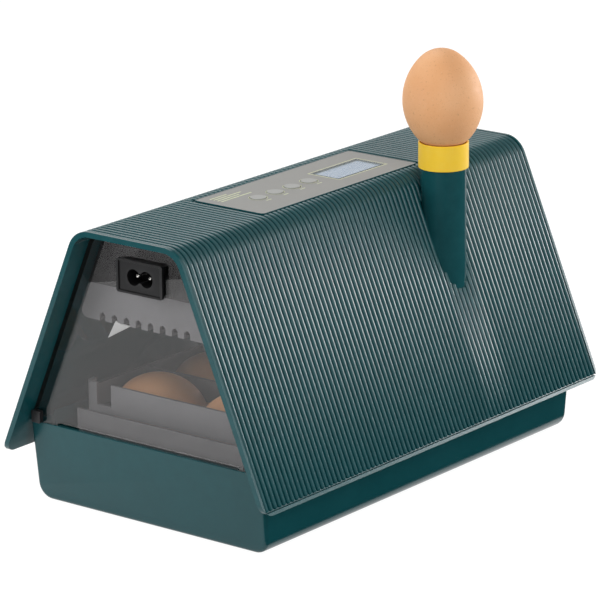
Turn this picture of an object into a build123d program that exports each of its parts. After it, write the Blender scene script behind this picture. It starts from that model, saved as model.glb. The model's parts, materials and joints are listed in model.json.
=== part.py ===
from build123d import *
import os
from math import atan2, cos, degrees, radians, sqrt

# Egg incubator. X runs along the ridge with the mains inlet at the -X end, the slope that
# carries the egg candler faces -Y, +Z is up, and the origin is under the middle of the feet.

# ---- driving dimensions, millimetres ----

# ribbed cover: a ridge-roofed shell, open at both ends and underneath
cover_length = 304.0
cover_top_z = 162.5
cover_top_width = 70.6        # between the sharp corners of roof and slopes
hem_z = 28.8
hem_width = 183.2
cover_wall = 3.0
cover_corner_radius = 14.5
hem_corner_radius = 6.5
rib_height = 1.1
rib_bed_end = 1.7             # plain rim at each end of the ribs
hem_band = 1.6                # plain band under the ribs
label_border = 0.8

# smoked hood with the two end windows
hood_length = 280.0
hood_wall = 1.8
window_wall = 2.2
hood_gap = 0.35               # sideways, from hood to cover
vent_slot_width = 125.0
vent_slot_height = 1.8
vent_slot_offset = -1.5

# base tub
foot_height = 1.0
foot_radius = 7.0
foot_spacing_x = 220.0
foot_spacing_y = 118.0
rim_z = 46.0
base_length_low = 272.2
base_length_high = 280.6
base_width_low = 159.4
base_width_high = 161.8
base_wall = 3.0
base_corner_radius = 2.5      # round each end face
base_edge_radius = 9.0        # along both long lower edges
lip_height = 2.5
lip_wall = 1.6
lip_length = 250.0

# hen's egg
egg_radius = 22.25
egg_long_half = 1.31685 * egg_radius      # from the widest circle to the pointed end
egg_short_half = 1.21348 * egg_radius     # from the widest circle to the blunt end
egg_point_side = 1.50562 * egg_radius     # radius of the flank towards the pointed end
egg_blunt_side = 1.43820 * egg_radius     # radius of the flank towards the blunt end

# egg floor, water tray and turner tray
row_count = 5
row_pitch = 48.0
eggs_y = (24.9, -33.9)        # widest circles of the two eggs of a row
egg_rest_gap = 0.3
egg_floor_z = 26.75
egg_floor_wall = 2.0
rail_top_z = 51.7
rail_wall = 2.0
slide_gap = 0.3
tray_wall = 1.6
tray_left_y = 56.2
tray_right_y = -66.2
tray_end_top_z = 68.4
divider_top_z = 64.6
tray_travel = 10.0
water_depth = 14.0
water_wall = 1.6

# turner
crank_arm = 11.5
crank_angle = 60.0            # each way, for the tray's full travel
crank_disc_radius = 15.0
crank_disc_wall = 2.8
crank_pin_radius = 1.5
pin_side_gap = 1.3            # room for the pin in its slot, each side
crank_z = 30.0
motor_radius = 17.0
motor_depth = 11.0
motor_shaft_radius = 2.0
shaft_gap = 0.05

# control housing and fan cover under the roof
housing_front_x = -130.8
housing_back_x = 72.0
housing_floor_z = 128.0
housing_wall = 2.0
fan_cover_front_x = -128.8
fan_cover_back_x = 38.0
fan_cover_floor_z = 107.0
comb_count = 8
comb_pitch = 8.36
comb_width = 3.9
comb_height = 4.6
comb_shift = 7.0              # away from the candler slope

# fan
fan_x = -42.0
fan_size = 60.0
fan_depth = 15.0
fan_tunnel_radius = 28.5
fan_hub_radius = 12.0
fan_blade_count = 7
fan_shaft_radius = 1.5
fan_screw_spacing = 50.0

# mains inlet, the two-pin figure-eight kind
inlet_z = 139.0
inlet_flange_width = 31.7
inlet_flange_height = 18.5
inlet_flange_wall = 1.6
inlet_body_width = 27.6
inlet_body_height = 15.6
inlet_body_depth = 22.0
inlet_pin_spacing = 8.6
inlet_pin_radius = 1.2
inlet_pin_sink = 3.5
inlet_hole_radius = 4.4
inlet_waist = 5.0             # height of the web between the two round ends
inlet_hole_depth = 11.0

# control label, display and buttons
label_length = 135.4
label_width = 46.8
label_wall = 0.8
label_x = -0.5
label_y = -1.1
label_radius = 2.0
display_length = 41.2
display_width = 19.6
display_x = 34.2
display_y = -2.2
lcd_border = 1.6
button_count = 4
button_pitch = 14.7
button_first_x = -43.7
button_y = -1.5
button_radius = 4.5
button_proud = 0.5
button_travel = 0.5
moving_gap = 0.3
board_z = 148.0
board_wall = 1.6
switch_height = 4.2

# egg candler
candler_x = 60.2
candler_y = -48.9
candler_radius = 12.75
candler_wall = 1.6
candler_tip_z = 97.5
ring_low_z = cover_top_z + 3.2
ring_high_z = cover_top_z + 17.5
ring_radius = 13.95
ring_seat_radius = 12.6
spigot_radius = 11.6
egg_lean = 3.3                # degrees, towards the label
egg_lean_heading = 128.5      # degrees, from +X towards +Y

fit_gap = 0.1                 # between parts that are pressed or screwed together

# ---- sizes that follow ----

lean = (hem_width - cover_top_width) / 2 / (cover_top_z - hem_z)
slope_stretch = sqrt(1 + lean**2)
cover_run = cover_wall * slope_stretch          # the sloping wall, measured sideways
hood_out = cover_run + hood_gap
hood_in = hood_out + hood_wall * slope_stretch
roof_under_z = cover_top_z - cover_wall
hood_under_z = roof_under_z - hood_wall
window_x = hood_length / 2
chamber_x = window_x - window_wall
inner_radius = cover_corner_radius - cover_wall
base_floor_z = foot_height + base_wall
egg_z = egg_floor_z + egg_rest_gap + egg_radius
tray_low_z = rail_top_z + slide_gap
tray_half_x = row_count * row_pitch / 2
row_places = [(i - (row_count - 1) / 2) * row_pitch for i in range(row_count)]
label_recess_z = cover_top_z - label_wall - fit_gap
ridge = (1, 0, 0)


def half_width(z):
    """Half the cover's width at height z."""
    return cover_top_width / 2 + (cover_top_z - z) * lean


def roof_section(x, low, high, run, radius):
    """House-shaped sketch across the ridge, run inside the cover's outer face."""
    with BuildSketch(Plane.YZ.offset(x)) as section:
        with BuildLine():
            wide = half_width(low) - run
            narrow = half_width(high) - run
            Polyline((-wide, low), (-narrow, high), (narrow, high), (wide, low), close=True)
        make_face()
        fillet(section.vertices().group_by(Axis.Y)[-1], radius)
    return section.sketch


def roof_layer(x, low, depth):
    """House-shaped strip of even depth under the cover's outer face, above height low."""
    with BuildSketch(Plane.YZ.offset(x)) as layer:
        for mode, run, radius in ((Mode.ADD, 0, cover_corner_radius),
                                  (Mode.SUBTRACT, depth * slope_stretch, cover_corner_radius - depth)):
            high = cover_top_z if mode is Mode.ADD else cover_top_z - depth
            wide = half_width(low) - run
            narrow = half_width(high) - run
            with BuildLine():
                FilletPolyline((-wide, low), (-narrow, high), (narrow, high), (wide, low), radius=radius)
                Line((wide, low), (-wide, low))
            make_face(mode=mode)
    return layer.sketch


def finish(part, name):
    part.label = name
    export_step(part, f"parts/{name}.step")


os.makedirs("parts", exist_ok=True)

# ---- ribbed cover ----

hood_hole_radius = candler_radius + fit_gap
button_places = [button_first_x + i * button_pitch for i in range(button_count)]
screw_radius = 1.5
cover_screw_x = 100.0
cover_screw_y = 16.0

with BuildPart() as ribbed_cover:
    extrude(roof_section(-cover_length / 2, hem_z, cover_top_z, 0, cover_corner_radius),
            amount=cover_length, dir=ridge)
    extrude(roof_section(-cover_length / 2, hem_z, roof_under_z, cover_run, inner_radius),
            amount=cover_length, mode=Mode.SUBTRACT, dir=ridge)
    hem_ends = ribbed_cover.edges().filter_by(Axis.Y).group_by(Axis.Z)[0]
    fillet(hem_ends, hem_corner_radius)
    # the bed that the ribs stand on, between two plain rims
    extrude(roof_layer(rib_bed_end - cover_length / 2, hem_z + hem_band, rib_height),
            amount=cover_length - 2 * rib_bed_end, mode=Mode.SUBTRACT, dir=ridge)
    with BuildSketch(Plane.XY.offset(cover_top_z - rib_height)):
        with Locations((label_x, label_y)):
            RectangleRounded(label_length + 2 * label_border, label_width + 2 * label_border,
                             label_radius + label_border)
    extrude(amount=rib_height)
    with BuildSketch(Plane.XY.offset(label_recess_z)):
        with Locations((label_x, label_y)):
            RectangleRounded(label_length + 2 * fit_gap, label_width + 2 * fit_gap, label_radius)
    extrude(amount=cover_top_z - label_recess_z, mode=Mode.SUBTRACT)
    with BuildSketch(Plane.XY.offset(roof_under_z)):
        with Locations((display_x, display_y)):
            Rectangle(display_length - 2 * lcd_border, display_width - 2 * lcd_border)
        with Locations([(x, button_y) for x in button_places]):
            Circle(button_radius + moving_gap)
    extrude(amount=cover_wall, mode=Mode.SUBTRACT)
    with BuildSketch(Plane.XY.offset(candler_tip_z)):
        with Locations((candler_x, candler_y)):
            Circle(hood_hole_radius)
    extrude(amount=cover_top_z - candler_tip_z, mode=Mode.SUBTRACT)
    with BuildSketch(Plane.XY.offset(roof_under_z)):
        with GridLocations(2 * cover_screw_x, 2 * cover_screw_y, 2, 2):
            Circle(screw_radius)
    extrude(amount=cover_wall - 1, mode=Mode.SUBTRACT)
finish(ribbed_cover.part, "ribbed_cover")

# ---- smoked hood ----

with BuildPart() as window_hood:
    extrude(roof_section(-window_x, rim_z, roof_under_z, hood_out, inner_radius),
            amount=hood_length, dir=ridge)
    extrude(roof_section(-chamber_x, rim_z, hood_under_z, hood_in, inner_radius - hood_wall),
            amount=2 * chamber_x, mode=Mode.SUBTRACT, dir=ridge)
    with BuildSketch(Plane.YZ.offset(-window_x)):
        with Locations((vent_slot_offset, rim_z)):
            Rectangle(vent_slot_width, 2 * vent_slot_height)
    extrude(amount=hood_length, mode=Mode.SUBTRACT)
    with BuildSketch(Plane.YZ.offset(-window_x)):
        with Locations((0, inlet_z)):
            Rectangle(inlet_body_width + 2 * fit_gap, inlet_body_height + 2 * fit_gap)
    extrude(amount=window_wall, mode=Mode.SUBTRACT)
    with BuildSketch(Plane.XY.offset(hood_under_z)):
        with Locations((display_x, display_y)):
            Rectangle(display_length - 2 * lcd_border, display_width - 2 * lcd_border)
        with Locations([(x, button_y) for x in button_places]):
            Circle(button_radius + 2 + moving_gap)
        with GridLocations(2 * cover_screw_x, 2 * cover_screw_y, 2, 2):
            Circle(screw_radius + fit_gap)
    extrude(amount=hood_wall, mode=Mode.SUBTRACT)
    with BuildSketch(Plane.XY.offset(candler_tip_z - 1)):
        with Locations((candler_x, candler_y)):
            Circle(hood_hole_radius)
    extrude(amount=cover_top_z - candler_tip_z, mode=Mode.SUBTRACT)
finish(window_hood.part, "window_hood")

with BuildPart() as cover_screws:
    with BuildSketch(Plane.XY.offset(hood_under_z)):
        with GridLocations(2 * cover_screw_x, 2 * cover_screw_y, 2, 2):
            Circle(screw_radius - fit_gap / 2)
    extrude(amount=hood_wall + cover_wall - 1.2)
    with BuildSketch(Plane.XY.offset(hood_under_z)):
        with GridLocations(2 * cover_screw_x, 2 * cover_screw_y, 2, 2):
            Circle(2 * screw_radius)
    extrude(amount=-1.8)
    chamfer(cover_screws.edges().group_by(Axis.Z)[0], 0.5)
finish(cover_screws.part, "cover_screws")

# black pads that hold the hood's feet in the cover
pad_width = 6.0
pad_height = 7.0
pad_depth = 3.0
pad_y = half_width(rim_z + pad_height) - hood_out - pad_width / 2 - 0.4

with BuildPart() as corner_pads:
    for side in (-1, 1):
        with BuildSketch(Plane.YZ.offset(side * window_x)):
            with Locations((pad_y, rim_z + pad_height / 2), (-pad_y, rim_z + pad_height / 2)):
                RectangleRounded(pad_width, pad_height, 1.0)
        extrude(amount=side * pad_depth)
finish(corner_pads.part, "corner_pads")

# ---- base tub ----

def tub_solid(floor_z, inset, keel_radius, corner_radius):
    """Trough along the ridge with drafted ends, inset from the tub's outer faces."""
    low = base_length_low / 2 - inset
    high = base_length_high / 2 - inset
    with BuildPart() as block:
        with BuildSketch(Plane.YZ.offset(-high)) as section:
            with BuildLine():
                wide = base_width_high / 2 - inset
                narrow = base_width_low / 2 - inset
                Polyline((-wide, rim_z), (-narrow, floor_z), (narrow, floor_z), (wide, rim_z),
                         close=True)
            make_face()
            fillet(section.vertices().group_by(Axis.Y)[0], keel_radius)
        extrude(amount=2 * high)
        with BuildSketch(Plane.XZ):
            with BuildLine():
                Polyline((-high, rim_z), (-low, floor_z), (low, floor_z), (high, rim_z), close=True)
            make_face()
        extrude(amount=base_width_high, both=True, mode=Mode.INTERSECT)
        ends = block.faces().group_by(Axis.X)
        outline = [edge for edge in (ends[0].edges() + ends[-1].edges())
                   if edge.center().Z < rim_z - 0.1]
        fillet(outline, corner_radius)
    return block.part


tub_outside = tub_solid(foot_height, 0, base_edge_radius, base_corner_radius)
tub_inside = tub_solid(base_floor_z, base_wall, base_edge_radius - base_wall, base_corner_radius)

with BuildPart() as base_tub:
    add(tub_outside)
    add(tub_inside, mode=Mode.SUBTRACT)
    lip_face_y = half_width(rim_z + lip_height) - hood_in - 2 * moving_gap
    for side in (-1, 1):
        with Locations((0, side * (lip_face_y - lip_wall / 2), rim_z)):
            Box(lip_length, lip_wall, 2 * lip_height)
        with Locations((0, side * (lip_face_y + base_wall / 2 - lip_wall), rim_z - 2.5 * lip_height / 2)):
            Box(lip_length, base_wall, 2.5 * lip_height)
finish(base_tub.part, "base_tub")

with BuildPart() as feet:
    with BuildSketch(Plane.XY):
        with GridLocations(foot_spacing_x, foot_spacing_y, 2, 2):
            Circle(foot_radius)
    extrude(amount=foot_height)
finish(feet.part, "feet")

# ---- water tray and egg floor ----

floor_left_y = tray_left_y + (rail_wall - tray_wall) / 2
floor_right_y = tray_right_y - (rail_wall - tray_wall) / 2
floor_mid_y = (floor_left_y + floor_right_y) / 2
floor_width = floor_left_y - floor_right_y
floor_end_wall = 1.6
floor_end_rise = 4.6          # above the rails
floor_length = 2 * (tray_half_x + tray_travel + 2.7)
floor_end_width = floor_width - 8
rail_length = base_length_low - 2 * base_edge_radius - 8
water_length = rail_length - 4
water_width = floor_width - 2 * rail_wall - 3
slot_count_x = 10
slot_count_y = 13

with BuildPart() as water_tray:
    with BuildSketch(Plane.XY.offset(base_floor_z)):
        with Locations((0, floor_mid_y)):
            RectangleRounded(water_length, water_width, 8)
    extrude(amount=water_depth)
    with BuildSketch(Plane.XY.offset(base_floor_z + water_wall)):
        channel = (water_width - 3 * water_wall) / 2
        shift = (channel + water_wall) / 2
        with Locations((0, floor_mid_y - shift), (0, floor_mid_y + shift)):
            RectangleRounded(water_length - 2 * water_wall, channel, 6)
    extrude(amount=water_depth, mode=Mode.SUBTRACT)
finish(water_tray.part, "water_tray")

yoke_half = 9.0
yoke_window = yoke_half + tray_travel + 2

with BuildPart() as egg_floor:
    with BuildSketch(Plane.XY.offset(egg_floor_z)):
        with Locations((0, floor_mid_y)):
            RectangleRounded(floor_length, floor_width, 2)
        with Locations((0, floor_mid_y)):
            with GridLocations(floor_length / slot_count_x, floor_width / (slot_count_y + 1),
                               slot_count_x, slot_count_y):
                SlotOverall(floor_length / slot_count_x - 5, 4.0, mode=Mode.SUBTRACT)
    extrude(amount=-egg_floor_wall)
    rail_height = rail_top_z - base_floor_z
    for y in (floor_left_y - rail_wall / 2, floor_right_y + rail_wall / 2):
        with Locations((0, y, base_floor_z + rail_height / 2)):
            Box(rail_length, rail_wall, rail_height)
    end_top_z = rail_top_z + floor_end_rise
    end_height = end_top_z - egg_floor_z + egg_floor_wall
    for side in (-1, 1):
        with Locations((side * (floor_length - floor_end_wall) / 2, floor_mid_y,
                        end_top_z - end_height / 2)):
            Box(floor_end_wall, floor_end_width, end_height)
    # window in the left rail for the turner's yoke
    with Locations((0, floor_left_y - rail_wall / 2, rail_top_z)):
        Box(2 * yoke_window, 2 * rail_wall, 2 * (rail_top_z - egg_floor_z), mode=Mode.SUBTRACT)
finish(egg_floor.part, "egg_floor")

# ---- turner tray ----

tray_width = tray_left_y - tray_right_y
tray_mid_y = (tray_left_y + tray_right_y) / 2
notch_left_y = 48.7
notch_right_y = 38.6
yoke_low_z = egg_floor_z + 2
slot_low_z = crank_z + crank_arm * cos(radians(crank_angle)) - crank_pin_radius - pin_side_gap
slot_high_z = crank_z + crank_arm + crank_pin_radius + pin_side_gap
slot_half = crank_pin_radius + pin_side_gap

with BuildPart() as egg_tray:
    with BuildSketch(Plane.XY.offset(tray_low_z)):
        with Locations((0, tray_mid_y)):
            RectangleRounded(2 * tray_half_x + tray_wall, tray_width, 3)
            RectangleRounded(2 * tray_half_x - tray_wall, tray_width - 2 * tray_wall, 1.5,
                             mode=Mode.SUBTRACT)
    extrude(amount=tray_end_top_z - tray_low_z)
    # the long sides are lower than the ends
    with Locations((0, tray_mid_y, tray_end_top_z)):
        Box(2 * tray_half_x - 12, tray_width + 2, 2 * (tray_end_top_z - divider_top_z),
            mode=Mode.SUBTRACT)
    for i in range(row_count - 1):
        x = (row_places[i] + row_places[i + 1]) / 2
        with Locations((x, tray_mid_y, (divider_top_z + tray_low_z) / 2)):
            Box(tray_wall, tray_width - tray_wall, divider_top_z - tray_low_z)
    # finger notch beside each corner post
    for side in (-1, 1):
        with Locations((side * tray_half_x, (notch_left_y + notch_right_y) / 2, tray_end_top_z)):
            Box(4 * tray_wall, notch_left_y - notch_right_y, 2 * (tray_end_top_z - tray_low_z - 4),
                mode=Mode.SUBTRACT)
    # yoke that the crank pin pushes
    with Locations((0, tray_left_y - tray_wall / 2, (tray_low_z + yoke_low_z) / 2)):
        Box(2 * yoke_half, tray_wall, tray_low_z - yoke_low_z)
    with BuildSketch(Plane.XZ.offset(-tray_left_y - 1)):
        with Locations((0, (slot_low_z + slot_high_z) / 2)):
            SlotOverall(slot_high_z - slot_low_z, 2 * slot_half, rotation=90)
    extrude(amount=tray_wall + 2, mode=Mode.SUBTRACT)
finish(egg_tray.part, "egg_tray")

# ---- turner motor and crank ----

crank_disc_y = tray_left_y + 1.4
bracket_y = crank_disc_y + crank_disc_wall + 1.0
bracket_wall = 1.6
motor_y = bracket_y + bracket_wall
ear_x = motor_radius + 4.5
motor_screw_radius = 1.2

with BuildPart() as turner_crank:
    with BuildSketch(Plane.XZ.offset(-crank_disc_y)):
        with Locations((0, crank_z)):
            Circle(crank_disc_radius)
            Circle(motor_shaft_radius + shaft_gap, mode=Mode.SUBTRACT)
    extrude(amount=-crank_disc_wall)
    fillet(turner_crank.edges().filter_by(GeomType.CIRCLE).sort_by(SortBy.RADIUS)[-2:], 0.6)
    with BuildSketch(Plane.XZ.offset(-crank_disc_y)):
        with Locations((0, crank_z + crank_arm)):
            Circle(crank_pin_radius)
    extrude(amount=tray_wall + 2.2)
finish(turner_crank.part, "turner_crank")

with BuildPart() as motor_bracket:
    bracket_top_z = crank_z + motor_radius + 3
    with BuildSketch(Plane.XZ.offset(-bracket_y)):
        with Locations((0, (base_floor_z + bracket_top_z) / 2)):
            Rectangle(2 * ear_x + 9, bracket_top_z - base_floor_z)
        with Locations((0, crank_z)):
            Circle(motor_shaft_radius + 1.5, mode=Mode.SUBTRACT)
        with Locations((-ear_x, crank_z), (ear_x, crank_z)):
            Circle(motor_screw_radius + fit_gap, mode=Mode.SUBTRACT)
    extrude(amount=-bracket_wall)
    foot_depth = 7.5
    with Locations((0, bracket_y + foot_depth / 2, base_floor_z + bracket_wall / 2)):
        Box(2 * ear_x + 9, foot_depth, bracket_wall)
finish(motor_bracket.part, "motor_bracket")

with BuildPart() as turner_motor:
    with BuildSketch(Plane.XZ.offset(-motor_y)):
        with Locations((0, crank_z)):
            Circle(motor_radius)
    extrude(amount=-motor_depth)
    fillet(turner_motor.edges().group_by(Axis.Y)[-1], 1.2)
    with BuildSketch(Plane.XZ.offset(-motor_y)):
        with Locations((0, crank_z)):
            SlotOverall(2 * ear_x + 7, 7)
            with Locations((-ear_x, 0), (ear_x, 0)):
                Circle(motor_screw_radius + fit_gap, mode=Mode.SUBTRACT)
    extrude(amount=-1.2)
    with BuildSketch(Plane.XZ.offset(-motor_y)):
        with Locations((0, crank_z)):
            Circle(motor_shaft_radius)
    extrude(amount=motor_y - crank_disc_y)
finish(turner_motor.part, "turner_motor")

with BuildPart() as motor_screws:
    with BuildSketch(Plane.XZ.offset(-bracket_y)):
        with Locations((-ear_x, crank_z), (ear_x, crank_z)):
            Circle(motor_screw_radius)
    extrude(amount=-5)
    with BuildSketch(Plane.XZ.offset(-motor_y - 1.2)):
        with Locations((-ear_x, crank_z), (ear_x, crank_z)):
            Circle(2 * motor_screw_radius)
    extrude(amount=-1.5)
finish(motor_screws.part, "motor_screws")

# ---- control housing ----

fan_cover_run = hood_in + 0.4
stand_radius = 3.2
stand_x = (fan_cover_front_x + 9, fan_cover_back_x - 9)
stand_y = half_width(fan_cover_floor_z) - fan_cover_run - 14
comb_places = [comb_shift + (i - (comb_count - 1) / 2) * comb_pitch for i in range(comb_count)]
grille_bars = 6
grille_bar = 1.4
skin = 1.6
cover_span = fan_cover_back_x - fan_cover_front_x
screw_places = [(x, side * stand_y) for x in stand_x for side in (-1, 1)]
fan_screw_places = [(fan_x + i * fan_screw_spacing / 2, j * fan_screw_spacing / 2)
                    for i in (-1, 1) for j in (-1, 1)]

tube_room = candler_radius + 1.6
notch_x = candler_x - tube_room
notch_y = candler_y + tube_room
housing_run = hood_in + 0.3

with BuildPart() as housing_core:
    core_length = housing_back_x - housing_front_x - 2 * housing_wall
    extrude(roof_section(housing_front_x + housing_wall, housing_floor_z + housing_wall, hood_under_z,
                     housing_run + housing_wall * slope_stretch, inner_radius - hood_wall - 1),
            amount=core_length, dir=ridge)
    with BuildSketch(Plane.XY.offset(housing_floor_z)):
        with Locations((notch_x - housing_wall, notch_y + housing_wall)):
            Rectangle(2 * tube_room + 40, 60, align=(Align.MIN, Align.MAX))
    extrude(amount=cover_top_z - housing_floor_z, mode=Mode.SUBTRACT)

post_radius = 3.0
post_x = (-54.0, 62.0)
post_y = 17.0

with BuildPart() as control_housing:
    extrude(roof_section(housing_front_x, housing_floor_z, hood_under_z, housing_run,
                         inner_radius - hood_wall + 1),
            amount=housing_back_x - housing_front_x, dir=ridge)
    with BuildSketch(Plane.XY.offset(housing_floor_z)):
        with Locations((notch_x, notch_y)):
            Rectangle(2 * tube_room + 40, 60, align=(Align.MIN, Align.MAX))
    extrude(amount=cover_top_z - housing_floor_z, mode=Mode.SUBTRACT)
    add(housing_core.part, mode=Mode.SUBTRACT)
    with BuildSketch(Plane.YZ.offset(housing_front_x)):
        with Locations((0, inlet_z)):
            Rectangle(inlet_body_width + 2 * fit_gap, inlet_body_height + 2 * fit_gap)
    extrude(amount=housing_wall, mode=Mode.SUBTRACT)
    with BuildSketch(Plane.XY.offset(housing_floor_z + housing_wall)):
        with Locations([(x, side * post_y) for x in post_x for side in (-1, 1)]):
            Circle(post_radius)
    extrude(amount=board_z - housing_floor_z - housing_wall)
    with BuildSketch(Plane.XY.offset(housing_floor_z)):
        with Locations(screw_places):
            Circle(screw_radius + fit_gap / 2)
    extrude(amount=housing_wall, mode=Mode.SUBTRACT)
finish(control_housing.part, "control_housing")

# ---- fan cover with its comb of air slots at each end ----

with BuildPart() as fan_cover:
    extrude(roof_section(fan_cover_front_x, fan_cover_floor_z, housing_floor_z, fan_cover_run, 0.5),
            amount=cover_span, dir=ridge)
    lower_edges = fan_cover.edges().filter_by(Axis.X).group_by(Axis.Z)[0]
    fillet(lower_edges, 4.0)
    extrude(roof_section(fan_cover_front_x + skin, fan_cover_floor_z + skin, housing_floor_z,
                     fan_cover_run + skin * slope_stretch, 0.4),
            amount=cover_span - 2 * skin, mode=Mode.SUBTRACT, dir=ridge)
    # air slots with round tops, through both end walls
    slot_side = comb_height - comb_width / 2
    with BuildSketch(Plane.YZ.offset(-cover_length / 2)):
        with Locations([(y, fan_cover_floor_z + slot_side) for y in comb_places]):
            Circle(comb_width / 2)
            Rectangle(comb_width, slot_side + 2, align=(Align.CENTER, Align.MAX))
    extrude(amount=cover_length, mode=Mode.SUBTRACT)
    with BuildSketch(Plane.XY.offset(fan_cover_floor_z)):
        with Locations(screw_places):
            Circle(stand_radius)
    extrude(amount=housing_floor_z - fan_cover_floor_z)
    with BuildSketch(Plane.XY.offset(fan_cover_floor_z)):
        with Locations((fan_x, 0)):
            Circle(fan_tunnel_radius)
        with Locations(screw_places + fan_screw_places):
            Circle(screw_radius + fit_gap)
    extrude(amount=housing_floor_z - fan_cover_floor_z, mode=Mode.SUBTRACT)
    # grille over the fan's mouth
    with BuildSketch(Plane.XY.offset(fan_cover_floor_z)):
        with Locations((fan_x, 0)):
            for radius in (9.0, 18.0):
                Circle(radius + grille_bar / 2)
                Circle(radius - grille_bar / 2, mode=Mode.SUBTRACT)
            with PolarLocations(fan_tunnel_radius / 2 + 4, grille_bars):
                Rectangle(fan_tunnel_radius - 6, grille_bar)
    extrude(amount=skin)
finish(fan_cover.part, "fan_cover")

with BuildPart() as housing_screws:
    with BuildSketch(Plane.XY.offset(fan_cover_floor_z)):
        with Locations(screw_places):
            Circle(screw_radius)
    extrude(amount=housing_floor_z + housing_wall - fan_cover_floor_z)
    with BuildSketch(Plane.XY.offset(fan_cover_floor_z)):
        with Locations(screw_places):
            Circle(2 * screw_radius)
    extrude(amount=-1.8)
    chamfer(housing_screws.edges().group_by(Axis.Z)[0], 0.5)
finish(housing_screws.part, "housing_screws")

# ---- fan ----

fan_low_z = fan_cover_floor_z + skin
fan_high_z = fan_low_z + fan_depth
fan_strut_wall = 2.0
impeller_low_z = fan_low_z + 1.2
impeller_high_z = fan_high_z - fan_strut_wall - 0.6
blade_tip = fan_tunnel_radius - 1.5
blade_wall = 1.2
blade_tilt = 38.0

with BuildPart() as fan_frame:
    with BuildSketch(Plane.XY.offset(fan_low_z)):
        with Locations((fan_x, 0)):
            RectangleRounded(fan_size, fan_size, 3)
            Circle(fan_tunnel_radius, mode=Mode.SUBTRACT)
        with Locations(fan_screw_places):
            Circle(screw_radius + fit_gap, mode=Mode.SUBTRACT)
    extrude(amount=fan_depth)
    with BuildSketch(Plane.XY.offset(fan_high_z - fan_strut_wall)):
        with Locations((fan_x, 0)):
            Circle(fan_hub_radius + 1)
            with PolarLocations(fan_tunnel_radius / 2 + 5, 4, start_angle=45):
                Rectangle(fan_tunnel_radius - 6, 3)
    extrude(amount=fan_strut_wall)
    with BuildSketch(Plane.XY.offset(impeller_low_z + 1)):
        with Locations((fan_x, 0)):
            Circle(fan_shaft_radius)
    extrude(amount=fan_high_z - impeller_low_z - 1)
finish(fan_frame.part, "fan_frame")

with BuildPart() as fan_impeller:
    with BuildSketch(Plane.XY.offset(impeller_low_z)):
        with Locations((fan_x, 0)):
            Circle(fan_hub_radius)
    extrude(amount=impeller_high_z - impeller_low_z)
    fillet(fan_impeller.edges().group_by(Axis.Z)[0], 1.0)
    blade_length = blade_tip - fan_hub_radius + 1
    blade_height = (impeller_high_z - impeller_low_z - 2) / cos(radians(blade_tilt))
    with Locations((fan_x, 0, (impeller_low_z + impeller_high_z) / 2)):
        with PolarLocations(fan_hub_radius - 1 + blade_length / 2, fan_blade_count):
            Box(blade_length, blade_wall, blade_height, rotation=(blade_tilt, 0, 0))
    with BuildSketch(Plane.XY.offset(impeller_low_z + 0.8)):
        with Locations((fan_x, 0)):
            Circle(fan_shaft_radius + shaft_gap)
    extrude(amount=impeller_high_z - impeller_low_z, mode=Mode.SUBTRACT)
finish(fan_impeller.part, "fan_impeller")

with BuildPart() as fan_screws:
    with BuildSketch(Plane.XY.offset(fan_cover_floor_z)):
        with Locations(fan_screw_places):
            Circle(screw_radius)
    extrude(amount=fan_high_z - fan_cover_floor_z)
    with BuildSketch(Plane.XY.offset(fan_cover_floor_z)):
        with Locations(fan_screw_places):
            Circle(2 * screw_radius)
    extrude(amount=-1.6)
finish(fan_screws.part, "fan_screws")

# ---- heater and temperature sensor ----

heater_x = -100.0
heater_width = 64.0
heater_fins = 12

with BuildPart() as heater:
    with Locations((heater_x, 0, fan_low_z + 4)):
        Box(8, heater_width, 8)
    with Locations((heater_x, 0, fan_low_z + 8)):
        with GridLocations(0, heater_width / heater_fins, 1, heater_fins):
            Box(22, 1.2, 14)
finish(heater.part, "heater")

sensor_x = fan_cover_back_x - 22
sensor_radius = 2.5
sensor_length = 7.0

with BuildPart() as temperature_sensor:
    with BuildSketch(Plane.XY.offset(fan_cover_floor_z)):
        with Locations((sensor_x, 0)):
            Circle(sensor_radius)
    extrude(amount=-sensor_length)
    fillet(temperature_sensor.edges().group_by(Axis.Z)[0], sensor_radius - 0.2)
    with BuildSketch(Plane.XY.offset(fan_cover_floor_z)):
        with Locations((sensor_x, 0)):
            Circle(sensor_radius + 2)
    extrude(amount=-1.2)
finish(temperature_sensor.part, "temperature_sensor")

# white clip hooked on the comb, shaped like a dart
clip_wall = 1.0
clip_fold = 0.5
clip_x = fan_cover_front_x - clip_wall
clip_y = 23.6
clip_z = fan_cover_floor_z - 0.2

with BuildPart() as sensor_clip:
    with BuildSketch(Plane.YZ.offset(clip_x)):
        with BuildLine():
            tip = (clip_y + 8.4, clip_z - 8.2)
            crest = (clip_y + 2.6, clip_z + 2.4)
            notch = (clip_y - 2.4, clip_z + 1.2)
            corner = (clip_y - 7.6, clip_z + 0.9)
            Line(tip, crest)
            ThreePointArc(crest, (clip_y, clip_z + 1.3), notch)
            Line(notch, corner)
            Line(corner, tip)
        make_face()
    extrude(amount=clip_wall)
    # folded lower half, a little proud of the upper one
    with BuildSketch(Plane.YZ.offset(clip_x)):
        with BuildLine():
            fold = (clip_y - 1.0, clip_z - 2.4)
            Polyline(tip, fold, corner, close=True)
        make_face()
    extrude(amount=-clip_fold)
finish(sensor_clip.part, "sensor_clip")

# ---- mains inlet ----

inlet_face_x = -window_x - inlet_flange_wall
inlet_back_x = -window_x + inlet_body_depth

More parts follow.
